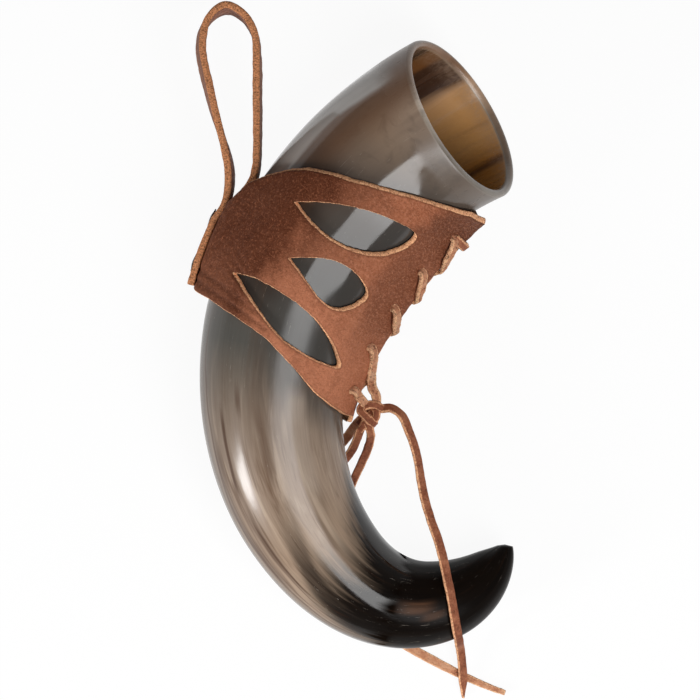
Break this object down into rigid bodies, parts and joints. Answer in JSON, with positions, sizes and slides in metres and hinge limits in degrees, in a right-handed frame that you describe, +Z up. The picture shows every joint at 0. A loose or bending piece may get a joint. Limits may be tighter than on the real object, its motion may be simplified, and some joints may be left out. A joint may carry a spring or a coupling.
{
  "type": "drinking horn",
  "caption": "Curved polished drinking horn with an open mouth, lying in a laced leather wrap with leaf-shaped windows and a riveted strap that forms a belt loop.",
  "frame": {"origin": "on the surface that the horn lies on, under the middle of the box round the object without its free lace ends and half bow", "axes": "+Z up from the side that it lies on, +Y towards the belt loop and the mouth, +X towards the inside of the bend, where the seam is laced"},
  "size_m": [0.1373, 0.2963, 0.0779],
  "materials": {
    "horn": "polished natural horn, grey-brown to black, with streaks along its length",
    "leather": "oiled reddish brown leather with a dry nap and raw tan edges",
    "strap_leather": "thick reddish brown leather with raw edges",
    "lace_leather": "narrow leather lace, brown grain side and tan flesh side",
    "rivet_metal": "darkened metal, dull"
  },
  "bodies": {
    "holder": {"leather_wrap": "leather", "strap_outer_leg": "strap_leather", "strap_inner_leg": "strap_leather", "rivet_posts": "rivet_metal", "rivet_caps": "rivet_metal", "lacing_bar": "lace_leather", "lacing_near": "lace_leather", "lacing_far": "lace_leather", "lace_knot": "lace_leather", "bow_loop": "lace_leather", "lace_end_front": "lace_leather", "lace_end_back": "lace_leather"},
    "horn": {"horn": "horn"},
    "belt_loop": {"belt_loop": "strap_leather"}
  },
  "joints": [
    {"name": "horn_pull", "type": "hinge", "parent": "holder", "child": "horn", "pos_m": [0.09575, -0.032, 0.035], "axis": [0, 0, -1], "range_deg": [0, 20]},
    {"name": "loop_flex", "type": "hinge", "parent": "holder", "child": "belt_loop", "pos_m": [-0.05117, 0.05593, 0.03738], "axis": [0, 0, 1], "range_deg": [-6, 20], "stiffness_Nm_per_rad": 0.03}
  ]
}
